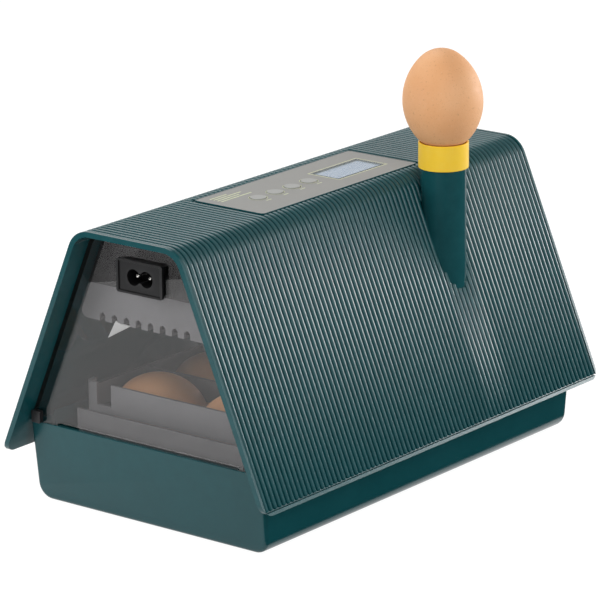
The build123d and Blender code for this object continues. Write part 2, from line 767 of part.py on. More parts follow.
with BuildPart() as power_inlet:
    with BuildSketch(Plane.YZ.offset(inlet_face_x)):
        with Locations((0, inlet_z)):
            RectangleRounded(inlet_flange_width, inlet_flange_height, 1.5)
    extrude(amount=inlet_flange_wall)
    with BuildSketch(Plane.YZ.offset(inlet_face_x)):
        with Locations((0, inlet_z)):
            Rectangle(inlet_flange_width - 3.4, inlet_flange_height - 2.6)
    extrude(amount=0.7, mode=Mode.SUBTRACT)
    with BuildSketch(Plane.YZ.offset(-window_x)):
        with Locations((0, inlet_z)):
            Rectangle(inlet_body_width, inlet_body_height)
    extrude(amount=inlet_body_depth)
    with BuildSketch(Plane.YZ.offset(inlet_face_x)):
        with Locations((-inlet_pin_spacing / 2, inlet_z), (inlet_pin_spacing / 2, inlet_z)):
            Circle(inlet_hole_radius)
        with Locations((0, inlet_z)):
            Rectangle(inlet_pin_spacing, inlet_waist)
    extrude(amount=inlet_hole_depth, mode=Mode.SUBTRACT)
    with BuildSketch(Plane.YZ.offset(inlet_face_x)):
        with Locations((-inlet_pin_spacing / 2, inlet_z), (inlet_pin_spacing / 2, inlet_z)):
            Circle(inlet_pin_radius + fit_gap / 2)
    extrude(amount=inlet_body_depth + inlet_flange_wall, mode=Mode.SUBTRACT)
finish(power_inlet.part, "power_inlet")

with BuildPart() as inlet_pins:
    with BuildSketch(Plane.YZ.offset(inlet_face_x + inlet_pin_sink)):
        with Locations((-inlet_pin_spacing / 2, inlet_z), (inlet_pin_spacing / 2, inlet_z)):
            Circle(inlet_pin_radius)
    extrude(amount=inlet_body_depth + 4.8 - inlet_pin_sink)
    fillet(inlet_pins.edges().group_by(Axis.X)[0], inlet_pin_radius - 0.2)
finish(inlet_pins.part, "inlet_pins")

# ---- boards, display, label and buttons ----

board_low_x = post_x[0] - 6
board_high_x = post_x[1] + 6

with BuildPart() as control_board:
    with Locations(((board_low_x + board_high_x) / 2, 0, board_z + board_wall / 2)):
        Box(board_high_x - board_low_x, 2 * post_y + 8, board_wall)
    for x in button_places:
        with Locations((x, button_y, board_z + board_wall + switch_height / 2)):
            Box(6, 6, switch_height)
finish(control_board.part, "control_board")

with BuildPart() as power_board:
    with Locations((-88, 0, housing_floor_z + housing_wall + 0.8)):
        Box(50, 44, 1.6)
    with Locations((-98, 8, housing_floor_z + housing_wall + 1.6 + 5)):
        Box(16, 18, 10)
    with BuildSketch(Plane.XY.offset(housing_floor_z + housing_wall + 1.6)):
        with Locations((-76, -10), (-76, 8)):
            Circle(4)
    extrude(amount=11)
finish(power_board.part, "power_board")

display_room = 0.25
with BuildPart() as display_panel:
    with Locations((display_x, display_y, (board_z + board_wall + label_recess_z - display_room) / 2)):
        Box(display_length - 2 * lcd_border - 2 * fit_gap, display_width - 2 * lcd_border - 2 * fit_gap,
            label_recess_z - display_room - board_z - board_wall)
finish(display_panel.part, "display_panel")

with BuildPart() as control_label:
    with BuildSketch(Plane.XY.offset(label_recess_z)):
        with Locations((label_x, label_y)):
            RectangleRounded(label_length, label_width, label_radius)
        with Locations((display_x, display_y)):
            Rectangle(display_length, display_width, mode=Mode.SUBTRACT)
        with Locations([(x, button_y) for x in button_places]):
            Circle(button_radius + moving_gap, mode=Mode.SUBTRACT)
    extrude(amount=label_wall)
finish(control_label.part, "control_label")

with BuildPart() as display_window:
    with BuildSketch(Plane.XY.offset(label_recess_z)):
        with Locations((display_x, display_y)):
            Rectangle(display_length - 2 * fit_gap, display_width - 2 * fit_gap)
    extrude(amount=label_wall)
finish(display_window.part, "display_window")

button_top_z = label_recess_z + label_wall + button_proud
flange_high_z = roof_under_z - moving_gap
flange_wall = 1.2
stem_radius = 2.0
stem_low_z = board_z + board_wall + switch_height + button_travel + fit_gap

for number, x in enumerate(button_places, start=1):
    with BuildPart() as button:
        with BuildSketch(Plane.XY.offset(flange_high_z)):
            with Locations((x, button_y)):
                Circle(button_radius)
        extrude(amount=button_top_z - flange_high_z)
        fillet(button.edges().group_by(Axis.Z)[-1], 0.4)
        with BuildSketch(Plane.XY.offset(flange_high_z)):
            with Locations((x, button_y)):
                Circle(button_radius + 1.3)
        extrude(amount=-flange_wall)
        with BuildSketch(Plane.XY.offset(flange_high_z)):
            with Locations((x, button_y)):
                Circle(stem_radius)
        extrude(amount=stem_low_z - flange_high_z)
    finish(button.part, f"button_{number}")

# ---- egg candler ----

spigot_high_z = ring_low_z + 3.6
lens_wall = 1.5
lens_low_z = ring_low_z - 1.0
led_wall = 1.6

with BuildPart() as candler_tube:
    with BuildSketch(Plane.XY.offset(candler_tip_z)):
        with Locations((candler_x, candler_y)):
            Circle(candler_radius)
    extrude(amount=ring_low_z - 0.4 - candler_tip_z)
    with BuildSketch(Plane.XY.offset(candler_tip_z)):
        with Locations((candler_x, candler_y)):
            Circle(spigot_radius)
    extrude(amount=spigot_high_z - candler_tip_z)
    with BuildSketch(Plane.XY.offset(candler_tip_z + candler_wall)):
        with Locations((candler_x, candler_y)):
            Circle(candler_radius - 2 * candler_wall)
    extrude(amount=lens_low_z - led_wall - candler_tip_z - candler_wall, mode=Mode.SUBTRACT)
    with BuildSketch(Plane.XY.offset(lens_low_z - led_wall)):
        with Locations((candler_x, candler_y)):
            Circle(spigot_radius - 1.2)
    extrude(amount=spigot_high_z, mode=Mode.SUBTRACT)
finish(candler_tube.part, "candler_tube")

seat_radius = spigot_radius - 1.2 - fit_gap

with BuildPart() as candler_light:
    with BuildSketch(Plane.XY.offset(lens_low_z - led_wall)):
        with Locations((candler_x, candler_y)):
            Circle(seat_radius)
    extrude(amount=led_wall)
finish(candler_light.part, "candler_light")

with BuildPart() as candler_lens:
    with BuildSketch(Plane.XY.offset(lens_low_z)):
        with Locations((candler_x, candler_y)):
            Circle(seat_radius)
    extrude(amount=lens_wall)
finish(candler_lens.part, "candler_lens")

with BuildPart() as candler_ring:
    with BuildSketch(Plane.XZ):
        with BuildLine():
            bore = spigot_radius + fit_gap
            throat = bore - 0.9
            Polyline((bore, ring_low_z), (ring_radius, ring_low_z), (ring_radius, ring_high_z),
                     (ring_seat_radius + 0.3, ring_high_z), (throat, ring_high_z - 4),
                     (throat, spigot_high_z + fit_gap), (bore, spigot_high_z + fit_gap), close=True)
        make_face()
    revolve(axis=Axis.Z)
    fillet(candler_ring.edges().filter_by(GeomType.CIRCLE).group_by(Axis.Z)[-1], 0.4)
candler_ring.part.location = Location((candler_x, candler_y, 0))
finish(candler_ring.part, "candler_ring")

# ---- eggs ----


def egg_profile(half_height, side_radius):
    """Cap radius and meeting angle of a side arc and an end cap, from the widest circle up."""
    cap = (2 * side_radius * egg_radius - egg_radius**2 - half_height**2) / (
        2 * (side_radius - half_height))
    return cap, degrees(atan2(half_height - cap, side_radius - egg_radius))


point_cap, point_angle = egg_profile(egg_long_half, egg_point_side)
blunt_cap, blunt_angle = egg_profile(egg_short_half, egg_blunt_side)


def egg_solid():
    """Egg standing on its blunt end, its widest circle at the origin."""
    with BuildPart() as egg:
        with BuildSketch(Plane.XZ):
            with BuildLine():
                CenterArc((egg_radius - egg_point_side, 0), egg_point_side, 0, point_angle)
                CenterArc((0, egg_long_half - point_cap), point_cap, point_angle, 90 - point_angle)
                Line((0, egg_long_half), (0, -egg_short_half))
                CenterArc((0, blunt_cap - egg_short_half), blunt_cap, -90, 90 - blunt_angle)
                CenterArc((egg_radius - egg_blunt_side, 0), egg_blunt_side, -blunt_angle, blunt_angle)
            make_face()
        revolve(axis=Axis.Z)
    return egg.part


standing_egg = egg_solid()
# the egg leans about the middle of the ball that its blunt end is part of
ball_drop = egg_short_half - blunt_cap
ball_z = ring_high_z + sqrt(blunt_cap**2 - ring_seat_radius**2) + egg_rest_gap

candled = Rot(0, 0, egg_lean_heading) * Rot(0, egg_lean, 0) * Pos(0, 0, ball_drop) * standing_egg
candled_egg = Pos(candler_x, candler_y, ball_z) * candled
finish(candled_egg, "candled_egg")

for number, x in enumerate(row_places, start=1):
    with BuildPart() as eggs_row:
        for y in eggs_y:
            with Locations(Location((x, y, egg_z), (90, 0, 0))):
                add(standing_egg)
    finish(eggs_row.part, f"eggs_row_{number}")
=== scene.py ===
import json
from math import atan, cos, pi, radians, sin, sqrt, tan

import bmesh
import bpy
from mathutils import Matrix, Vector


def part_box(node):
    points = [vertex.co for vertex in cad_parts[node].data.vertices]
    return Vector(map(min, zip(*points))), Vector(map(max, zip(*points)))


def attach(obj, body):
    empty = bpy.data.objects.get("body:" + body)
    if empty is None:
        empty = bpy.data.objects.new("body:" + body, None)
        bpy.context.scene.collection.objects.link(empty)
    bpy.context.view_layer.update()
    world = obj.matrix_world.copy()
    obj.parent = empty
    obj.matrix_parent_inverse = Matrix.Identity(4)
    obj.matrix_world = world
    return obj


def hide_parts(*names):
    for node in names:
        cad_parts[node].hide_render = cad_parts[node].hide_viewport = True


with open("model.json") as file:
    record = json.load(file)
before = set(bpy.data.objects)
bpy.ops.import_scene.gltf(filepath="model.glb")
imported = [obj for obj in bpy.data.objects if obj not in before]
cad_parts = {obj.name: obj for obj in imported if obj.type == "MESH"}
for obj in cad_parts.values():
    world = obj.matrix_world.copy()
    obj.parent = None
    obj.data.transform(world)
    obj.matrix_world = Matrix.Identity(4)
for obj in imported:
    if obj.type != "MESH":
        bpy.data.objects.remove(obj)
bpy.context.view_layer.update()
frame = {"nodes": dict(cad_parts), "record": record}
cadNodes = frame["nodes"]
scene = bpy.context.scene
scene.view_settings.view_transform = "Standard"
print("frame loaded,", len(cadNodes), "nodes")

# camera, floor and lights

camera = {"azimuth": -51.5548, "elevation": 16.2569, "roll": -0.5211, "distance": 2.20276,
          "aside": -0.004021, "rise": 0.003142, "aim": 0.0912, "lens": 239.409,
          "sensor": 36, "farthest": 50}


def makeCamera():
    azimuth, elevation, roll = (radians(camera[turn]) for turn in ("azimuth", "elevation", "roll"))
    back = Vector((sin(azimuth) * cos(elevation), -cos(azimuth) * cos(elevation), sin(elevation)))
    level = Vector((cos(azimuth), sin(azimuth), 0))
    rise = back.cross(level)
    right = level * cos(roll) + rise * sin(roll)
    up = rise * cos(roll) - level * sin(roll)
    place = back * camera["distance"] + right * camera["aside"] + up * camera["rise"]
    place.z += camera["aim"]
    viewer = bpy.data.objects.new("camera", bpy.data.cameras.new("camera"))
    viewer.data.lens = camera["lens"]
    viewer.data.sensor_width = camera["sensor"]
    viewer.data.clip_end = camera["farthest"]
    turn = Matrix((right, up, back)).transposed().to_4x4()
    viewer.matrix_world = Matrix.Translation(place) @ turn
    scene.collection.objects.link(viewer)
    scene.camera = viewer


makeCamera()

studio = {"ambient": 0.32, "floorSize": 8.0, "floorColour": (0.8, 0.8, 0.8), "floorShare": 0.8,
          "floorGlow": 1.2, "flagColour": (0.012, 0.012, 0.013), "lampAim": 0.08}

# black flags that only reflections see, each a strip along one edge and up or out from it
flags = {
    "left_flag": {"foot": (-0.51, 0.30, 0.002), "along": (0.69, 0.72, 0), "width": 1.2, "rise": (0, 0, 0.95)},
    "corner_flag": {"foot": (0.95, -0.03, 0.60), "along": (0, 1, 0), "width": 0.92, "rise": (0, 0, 0.9)},
    "front_flag": {"foot": (0.12, -0.082, 0.002), "along": (1, 0, 0), "width": 1.8, "rise": (0, -0.9, 0)},
}

lamps = {
    "key_softbox": {"towards": (0.926, -0.378, 0.085), "distance": 3.6,
                    "width": 2.1, "height": 0.75, "power": 66},
    "side_softbox": {"towards": (-0.85, 0.5, 0.34), "distance": 1.3,
                     "width": 0.7, "height": 0.7, "power": 8},
    "front_softbox": {"towards": (-0.35, -0.95, 0.62), "distance": 1.5,
                      "width": 0.8, "height": 0.8, "power": 7},
    "top_softbox": {"towards": (0.25, 0.5, 0.9), "distance": 1.4,
                    "width": 0.9, "height": 0.9, "power": 6},
}


def node(tree, kind, **settings):
    made = tree.nodes.new(kind)
    for key, value in settings.items():
        setattr(made, key, value)
    return made


def feed(tree, source, target):  # a link from an output, or a plain value
    if hasattr(source, "is_output"):
        tree.links.new(source, target)
    else:
        target.default_value = source


def calculate(tree, operation, first, second):
    step = node(tree, "ShaderNodeMath", operation=operation)
    feed(tree, first, step.inputs[0])
    feed(tree, second, step.inputs[1])
    return step.outputs[0]


def rgba(colour):
    return (*colour, 1)


def showsBackdrop(tree):  # 1 for what the eye, a reflection or glass sees, 0 for what lights the object
    path = node(tree, "ShaderNodeLightPath")
    seen = calculate(tree, "MAXIMUM", path.outputs["Is Camera Ray"], path.outputs["Is Glossy Ray"])
    return calculate(tree, "MAXIMUM", seen, path.outputs["Is Transmission Ray"])


def makeWorld():
    world = bpy.data.worlds.new("studio")
    world.use_nodes = True
    tree = world.node_tree
    tree.nodes.clear()
    out = node(tree, "ShaderNodeOutputWorld")
    sky = node(tree, "ShaderNodeBackground")
    sky.inputs["Color"].default_value = (1, 1, 1, 1)
    lift = calculate(tree, "MULTIPLY", showsBackdrop(tree), 1 - studio["ambient"])
    feed(tree, calculate(tree, "ADD", lift, studio["ambient"]), sky.inputs["Strength"])
    tree.links.new(sky.outputs[0], out.inputs["Surface"])
    scene.world = world


def flatSheet(name, corners, material):
    mesh = bpy.data.meshes.new(name)
    mesh.from_pydata(corners, [], [(0, 1, 2, 3)])
    mesh.materials.append(material)
    sheet = bpy.data.objects.new(name, mesh)
    scene.collection.objects.link(sheet)
    return sheet


def makeFloor():
    paper = bpy.data.materials.new("white_paper")
    paper.use_nodes = True
    tree = paper.node_tree
    tree.nodes.clear()
    out = node(tree, "ShaderNodeOutputMaterial")
    matt = node(tree, "ShaderNodeBsdfDiffuse")
    matt.inputs["Color"].default_value = rgba(studio["floorColour"])
    glow = node(tree, "ShaderNodeEmission")
    glow.inputs["Strength"].default_value = studio["floorGlow"]
    both = node(tree, "ShaderNodeMixShader")
    feed(tree, calculate(tree, "MULTIPLY", showsBackdrop(tree), studio["floorShare"]), both.inputs[0])
    tree.links.new(matt.outputs[0], both.inputs[1])
    tree.links.new(glow.outputs[0], both.inputs[2])
    tree.links.new(both.outputs[0], out.inputs["Surface"])
    half = studio["floorSize"] / 2
    corners = [(-half, -half, 0), (half, -half, 0), (half, half, 0), (-half, half, 0)]
    floor = flatSheet("floor", corners, paper)


def makeFlags():
    black = bpy.data.materials.new("flag_black")
    black.use_nodes = True
    shader = black.node_tree.nodes["Principled BSDF"]
    shader.inputs["Base Color"].default_value = rgba(studio["flagColour"])
    shader.inputs["Specular IOR Level"].default_value = 0
    for name, flag in flags.items():
        along = Vector(flag["along"]).normalized() * flag["width"] / 2
        foot = Vector(flag["foot"])
        rise = Vector(flag["rise"])
        corners = [foot - along, foot + along, foot + along + rise, foot - along + rise]
        card = flatSheet(name, corners, black)
        card.visible_camera = False
        card.visible_diffuse = False
        card.visible_shadow = False
        card.visible_transmission = False


def makeLamps():
    for name, lamp in lamps.items():
        light = bpy.data.lights.new(name, "AREA")
        light.shape = "RECTANGLE"
        light.size, light.size_y, light.energy = lamp["width"], lamp["height"], lamp["power"]
        towards = Vector(lamp["towards"]).normalized()
        holder = bpy.data.objects.new(name, light)
        holder.location = towards * lamp["distance"] + Vector((0, 0, studio["lampAim"]))
        holder.rotation_euler = towards.to_track_quat("Z", "Y").to_euler()
        holder.visible_camera = False
        holder.visible_transmission = False
        scene.collection.objects.link(holder)


makeWorld()
makeFloor()
makeFlags()
makeLamps()
print("studio ready")

# shared effects for the materials


def newGroup(name, inputs, outputs):
    tree = bpy.data.node_groups.new(name, "ShaderNodeTree")
    for label, kind, value in inputs:
        socket = tree.interface.new_socket(label, in_out="INPUT", socket_type=kind)
        socket.default_value = value
    for label, kind in outputs:
        tree.interface.new_socket(label, in_out="OUTPUT", socket_type=kind)
    return tree, node(tree, "NodeGroupInput"), node(tree, "NodeGroupOutput")


def objectPlace(tree):
    return node(tree, "ShaderNodeTexCoord").outputs["Object"]


def remap(tree, value, fromLow, fromHigh, toLow=0.0, toHigh=1.0):
    reach = node(tree, "ShaderNodeMapRange")
    feed(tree, value, reach.inputs["Value"])
    feed(tree, fromLow, reach.inputs["From Min"])
    feed(tree, fromHigh, reach.inputs["From Max"])
    feed(tree, toLow, reach.inputs["To Min"])
    feed(tree, toHigh, reach.inputs["To Max"])
    return reach.outputs["Result"]


def spread(tree, value, low, high):  # noise mostly lies between 0.3 and 0.7
    return remap(tree, value, 0.3, 0.7, low, high)


def noise(tree, vector, scale, detail, rough=0.55):
    field = node(tree, "ShaderNodeTexNoise")
    feed(tree, vector, field.inputs["Vector"])
    feed(tree, scale, field.inputs["Scale"])
    field.inputs["Detail"].default_value = detail
    field.inputs["Roughness"].default_value = rough
    return field.outputs["Fac"]


def around(tree, middle, reach):  # the values a reach below and above the middle
    return calculate(tree, "SUBTRACT", middle, reach), calculate(tree, "ADD", middle, reach)


skinLook = {"mottleDetail": 4.0, "grainDetail": 2.0, "mottleShare": 0.6}


def makeMouldedSkin():  # colour, shine and fine grain of a moulded surface
    tree, given, out = newGroup(
        "moulded_skin",
        [("Colour", "NodeSocketColor", (0.5, 0.5, 0.5, 1)), ("Colour shift", "NodeSocketFloat", 0.05),
         ("Mottle scale", "NodeSocketFloat", 40.0), ("Grain scale", "NodeSocketFloat", 1500.0),
         ("Roughness", "NodeSocketFloat", 0.4), ("Roughness spread", "NodeSocketFloat", 0.1)],
        [("Colour", "NodeSocketColor"), ("Roughness", "NodeSocketFloat"), ("Height", "NodeSocketFloat")])
    place = objectPlace(tree)
    mottle = noise(tree, place, given.outputs["Mottle scale"], skinLook["mottleDetail"])
    grain = noise(tree, place, given.outputs["Grain scale"], skinLook["grainDetail"])
    tone = spread(tree, mottle, *around(tree, 1.0, given.outputs["Colour shift"]))
    tinted = node(tree, "ShaderNodeVectorMath", operation="SCALE")
    feed(tree, given.outputs["Colour"], tinted.inputs[0])
    feed(tree, tone, tinted.inputs["Scale"])
    feed(tree, tinted.outputs[0], out.inputs["Colour"])
    coarse = calculate(tree, "MULTIPLY", mottle, skinLook["mottleShare"])
    fine = calculate(tree, "MULTIPLY", grain, 1 - skinLook["mottleShare"])
    half = calculate(tree, "MULTIPLY", given.outputs["Roughness spread"], 0.5)
    limits = around(tree, given.outputs["Roughness"], half)
    feed(tree, spread(tree, calculate(tree, "ADD", coarse, fine), *limits), out.inputs["Roughness"])
    feed(tree, grain, out.inputs["Height"])
    return tree


# settings of the painted highlight along outward edges
edgeHighlightLook = {"start": 0.51, "detail": 5.0, "rough": 0.7, "least": 0.2}


def makeEdgeHighlight():  # a mask along outward edges, broken up by noise, for the painted highlight along them
    tree, given, out = newGroup("painted_edge_highlight",
                                [("Reach", "NodeSocketFloat", 0.03), ("Scale", "NodeSocketFloat", 120.0)],
                                [("Mask", "NodeSocketFloat")])
    sharp = node(tree, "ShaderNodeNewGeometry").outputs["Pointiness"]
    full = calculate(tree, "ADD", given.outputs["Reach"], edgeHighlightLook["start"])
    edge = remap(tree, sharp, edgeHighlightLook["start"], full)
    patches = noise(tree, objectPlace(tree), given.outputs["Scale"], edgeHighlightLook["detail"], edgeHighlightLook["rough"])
    broken = spread(tree, patches, edgeHighlightLook["least"], 1.0)
    feed(tree, calculate(tree, "MULTIPLY", edge, broken), out.inputs["Mask"])
    return tree


dustLook = {"tilt": 0.55, "detail": 6.0, "rough": 0.65, "least": 0.25}


def makeSettledDust():  # a mask on what faces up, thicker in patches
    tree, given, out = newGroup("settled_dust",
                                [("Amount", "NodeSocketFloat", 0.1), ("Scale", "NodeSocketFloat", 25.0)],
                                [("Mask", "NodeSocketFloat")])
    parts = node(tree, "ShaderNodeSeparateXYZ")
    feed(tree, node(tree, "ShaderNodeNewGeometry").outputs["Normal"], parts.inputs[0])
    upward = remap(tree, parts.outputs["Z"], dustLook["tilt"], 1.0)
    clouds = noise(tree, objectPlace(tree), given.outputs["Scale"], dustLook["detail"], dustLook["rough"])
    film = calculate(tree, "MULTIPLY", upward, spread(tree, clouds, dustLook["least"], 1.0))
    feed(tree, calculate(tree, "MULTIPLY", film, given.outputs["Amount"]), out.inputs["Mask"])
    return tree


mouldedSkin = makeMouldedSkin()
edgeHighlight = makeEdgeHighlight()
settledDust = makeSettledDust()
print("shader groups ready")

# finishes


def placed(tree, group, **values):  # a group in a material, its inputs named with _ for a space
    made = node(tree, "ShaderNodeGroup", node_tree=group)
    for label, value in values.items():
        feed(tree, value, made.inputs[label.replace("_", " ")])
    return made


def blendColours(tree, share, first, second):
    mix = node(tree, "ShaderNodeMix", data_type="RGBA")
    feed(tree, share, mix.inputs["Factor"])
    feed(tree, first, mix.inputs[6])  # sockets 6 and 7 in and 2 out are the colours
    feed(tree, second, mix.inputs[7])
    return mix.outputs[2]


def dress(tree, shader, colour, roughness, height, depth):
    relief = node(tree, "ShaderNodeBump")
    relief.inputs["Strength"].default_value = 1.0
    relief.inputs["Distance"].default_value = depth
    feed(tree, height, relief.inputs["Height"])
    feed(tree, colour, shader.inputs["Base Color"])
    feed(tree, roughness, shader.inputs["Roughness"])
    feed(tree, relief.outputs[0], shader.inputs["Normal"])


def newFinish(name, ior=1.5, metallic=0.0):
    material = bpy.data.materials.new(name)
    material.use_nodes = True
    tree = material.node_tree
    tree.nodes.clear()
    out = node(tree, "ShaderNodeOutputMaterial")
    shader = node(tree, "ShaderNodeBsdfPrincipled")
    shader.inputs["IOR"].default_value = ior
    shader.inputs["Metallic"].default_value = metallic
    tree.links.new(shader.outputs[0], out.inputs["Surface"])
    return material, tree, shader


# each look's "edge" colour is the lighter tone of the painted highlight along its edges
plastics = {
    "green_abs": {"colour": (0.0042, 0.062, 0.072), "edge": (0.02, 0.13, 0.145), "shift": 0.05,
                  "rough": 0.21, "spread": 0.05, "mottle": 35.0, "grain": 1600.0, "depth": 0.00002,
                  "dust": 0.02, "ior": 1.42},
    "black_abs": {"colour": (0.006, 0.006, 0.007), "edge": (0.05, 0.05, 0.052), "shift": 0.1,
                  "rough": 0.33, "spread": 0.1, "mottle": 60.0, "grain": 1400.0, "depth": 0.000008,
                  "dust": 0.02, "ior": 1.45},
    "grey_chamber": {"colour": (0.20, 0.20, 0.21), "edge": (0.3, 0.3, 0.3), "shift": 0.06,
                     "rough": 0.42, "spread": 0.1, "mottle": 40.0, "grain": 1500.0, "depth": 0.00001,
                     "dust": 0.05, "ior": 1.46},
    "grey_floor": {"colour": (0.085, 0.085, 0.09), "edge": (0.2, 0.2, 0.2), "shift": 0.07,
                   "rough": 0.45, "spread": 0.1, "mottle": 45.0, "grain": 1500.0, "depth": 0.00001,
                   "dust": 0.03, "ior": 1.46},
    "white_abs": {"colour": (0.72, 0.73, 0.72), "edge": (0.85, 0.85, 0.84), "shift": 0.03,
                  "rough": 0.4, "spread": 0.1, "mottle": 50.0, "grain": 1800.0, "depth": 0.00002,
                  "dust": 0.04, "ior": 1.48},
    "yellow_silicone": {"colour": (1.0, 0.63, 0.02), "edge": (1.0, 0.72, 0.12), "shift": 0.03,
                        "rough": 0.4, "spread": 0.08, "mottle": 90.0, "grain": 2500.0, "depth": 0.00002,
                        "dust": 0.01, "ior": 1.45},
    "button_film": {"colour": (0.36, 0.365, 0.35), "edge": (0.5, 0.5, 0.48), "shift": 0.04,
                    "rough": 0.45, "spread": 0.08, "mottle": 120.0, "grain": 2600.0, "depth": 0.00002,
                    "dust": 0.02, "ior": 1.45},
    "foot_rubber": {"colour": (0.02, 0.02, 0.02), "edge": (0.06, 0.06, 0.06), "shift": 0.15,
                    "rough": 0.75, "spread": 0.15, "mottle": 200.0, "grain": 2400.0, "depth": 0.00008,
                    "dust": 0.1, "ior": 1.5},
}
# dust settings, and the reach, scale and share of the painted highlight along edges
dustAndEdgeHighlight = {"highlightReach": 0.05, "highlightScale": 150.0, "highlightShare": 0.35,
          "dustScale": 30.0, "dustColour": (0.45, 0.44, 0.42)}


def makePlastic(name, look):
    material, tree, shader = newFinish(name, look["ior"])
    skin = placed(tree, mouldedSkin, Colour=rgba(look["colour"]), Colour_shift=look["shift"],
                  Mottle_scale=look["mottle"], Grain_scale=look["grain"], Roughness=look["rough"],
                  Roughness_spread=look["spread"])
    edgeShine = placed(tree, edgeHighlight, Reach=dustAndEdgeHighlight["highlightReach"], Scale=dustAndEdgeHighlight["highlightScale"])
    dust = placed(tree, settledDust, Amount=look["dust"], Scale=dustAndEdgeHighlight["dustScale"])
    # edges blended towards the lighter edge colour: a painted highlight, not wear
    edgeLit = blendColours(tree, calculate(tree, "MULTIPLY", edgeShine.outputs[0], dustAndEdgeHighlight["highlightShare"]),
                        skin.outputs["Colour"], rgba(look["edge"]))
    dusty = blendColours(tree, dust.outputs[0], edgeLit, rgba(dustAndEdgeHighlight["dustColour"]))
    dress(tree, shader, dusty, skin.outputs["Roughness"], skin.outputs["Height"], look["depth"])
    return material


metals = {
    "zinc_screw": {"colour": (0.5, 0.5, 0.49), "rough": 0.3, "streak": 900.0},
    "rolled_steel": {"colour": (0.42, 0.43, 0.44), "rough": 0.38, "streak": 500.0},
    "nickel_pin": {"colour": (0.85, 0.84, 0.8), "rough": 0.2, "streak": 1500.0},
}
drawing = {"stretch": (0.15, 1.0, 1.0), "detail": 3.0, "depth": 0.00001,
           "shift": 0.12, "mottle": 90.0, "spread": 0.15}


def makeMetal(name, look):  # streaks along X, as drawn or rolled stock has
    material, tree, shader = newFinish(name, metallic=1.0)
    drawn = node(tree, "ShaderNodeMapping")
    feed(tree, objectPlace(tree), drawn.inputs["Vector"])
    drawn.inputs["Scale"].default_value = drawing["stretch"]
    streaks = noise(tree, drawn.outputs[0], look["streak"], drawing["detail"])
    skin = placed(tree, mouldedSkin, Colour=rgba(look["colour"]), Colour_shift=drawing["shift"],
                  Mottle_scale=drawing["mottle"], Grain_scale=look["streak"], Roughness=look["rough"],
                  Roughness_spread=drawing["spread"])
    dress(tree, shader, skin.outputs["Colour"], skin.outputs["Roughness"], streaks, drawing["depth"])
    return material


glasses = {
    "smoked_acrylic": {"colour": (0.80, 0.785, 0.79), "cloud": (0.77, 0.755, 0.76), "rough": 0.0,
                       "ior": 1.46, "through": 0.9},
    "clear_film": {"colour": (0.93, 0.95, 0.95), "cloud": (0.9, 0.92, 0.93), "rough": 0.14,
                   "ior": 1.22, "through": 0.96},
}
tinting = {"scale": 30.0, "detail": 4.0}


def makeGlass(name, look):  # lamps shine straight through; the eye sees real glass with a faintly uneven tint
    material, tree, shader = newFinish(name, look["ior"])
    shader.inputs["Transmission Weight"].default_value = 1.0
    shader.inputs["Roughness"].default_value = look["rough"]
    clouds = spread(tree, noise(tree, objectPlace(tree), tinting["scale"], tinting["detail"]), 0.0, 1.0)
    tint = blendColours(tree, clouds, rgba(look["colour"]), rgba(look["cloud"]))
    feed(tree, tint, shader.inputs["Base Color"])
    clear = node(tree, "ShaderNodeBsdfTransparent")
    clear.inputs["Color"].default_value = (look["through"],) * 3 + (1,)
    path = node(tree, "ShaderNodeLightPath")
    both = node(tree, "ShaderNodeMixShader")
    lit = calculate(tree, "MAXIMUM", path.outputs["Is Shadow Ray"], path.outputs["Is Diffuse Ray"])
    feed(tree, lit, both.inputs[0])
    tree.links.new(shader.outputs[0], both.inputs[1])
    tree.links.new(clear.outputs[0], both.inputs[2])
    tree.links.new(both.outputs[0], tree.nodes["Material Output"].inputs["Surface"])
    return material


eggLook = {"colour": (0.84, 0.42, 0.19), "pale": (0.88, 0.48, 0.24), "cloudScale": 45.0,
           "cloudDetail": 5.0, "rough": (0.5, 0.62), "roughScale": 300.0, "roughDetail": 3.0,
           "pitScale": 1500.0, "pitDepth": 0.00006, "ior": 1.42}
eggSpecks = [
    {"colour": (0.42, 0.17, 0.06), "scale": 900.0, "detail": 3.0, "rough": 0.6,
     "range": (0.60, 0.74), "most": 0.45},
    {"colour": (0.88, 0.58, 0.38), "scale": 1300.0, "detail": 2.0, "rough": 0.6,
     "range": (0.62, 0.75), "most": 0.4},
]
eggPore = {"colour": (0.08, 0.035, 0.015), "fromCorner": (0.0108, 0.00064, 0.01367), "radius": 0.00045,
           "edge": (1.6, 0.5)}  # one dark pore, placed from the lowest corner of the candled egg's box


def makeEggshell():
    material, tree, shader = newFinish("eggshell", eggLook["ior"])
    place = objectPlace(tree)
    clouds = spread(tree, noise(tree, place, eggLook["cloudScale"], eggLook["cloudDetail"]), 0.0, 1.0)
    shell = blendColours(tree, clouds, rgba(eggLook["colour"]), rgba(eggLook["pale"]))
    for speck in eggSpecks:
        field = noise(tree, place, speck["scale"], speck["detail"], speck["rough"])
        shell = blendColours(tree, remap(tree, field, *speck["range"], toHigh=speck["most"]), shell,
                             rgba(speck["colour"]))
    away = node(tree, "ShaderNodeVectorMath", operation="DISTANCE")
    feed(tree, place, away.inputs[0])
    away.inputs[1].default_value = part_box("candled_egg")[0] + Vector(eggPore["fromCorner"])
    outer, inner = (eggPore["radius"] * share for share in eggPore["edge"])
    pore = remap(tree, away.outputs["Value"], outer, inner)
    marked = blendColours(tree, pore, shell, rgba(eggPore["colour"]))
    uneven = noise(tree, place, eggLook["roughScale"], eggLook["roughDetail"])
    pits = node(tree, "ShaderNodeTexVoronoi")
    feed(tree, place, pits.inputs["Vector"])
    pits.inputs["Scale"].default_value = eggLook["pitScale"]
    rough = spread(tree, uneven, *eggLook["rough"])
    dress(tree, shader, marked, rough, pits.outputs["Distance"], eggLook["pitDepth"])
    return material


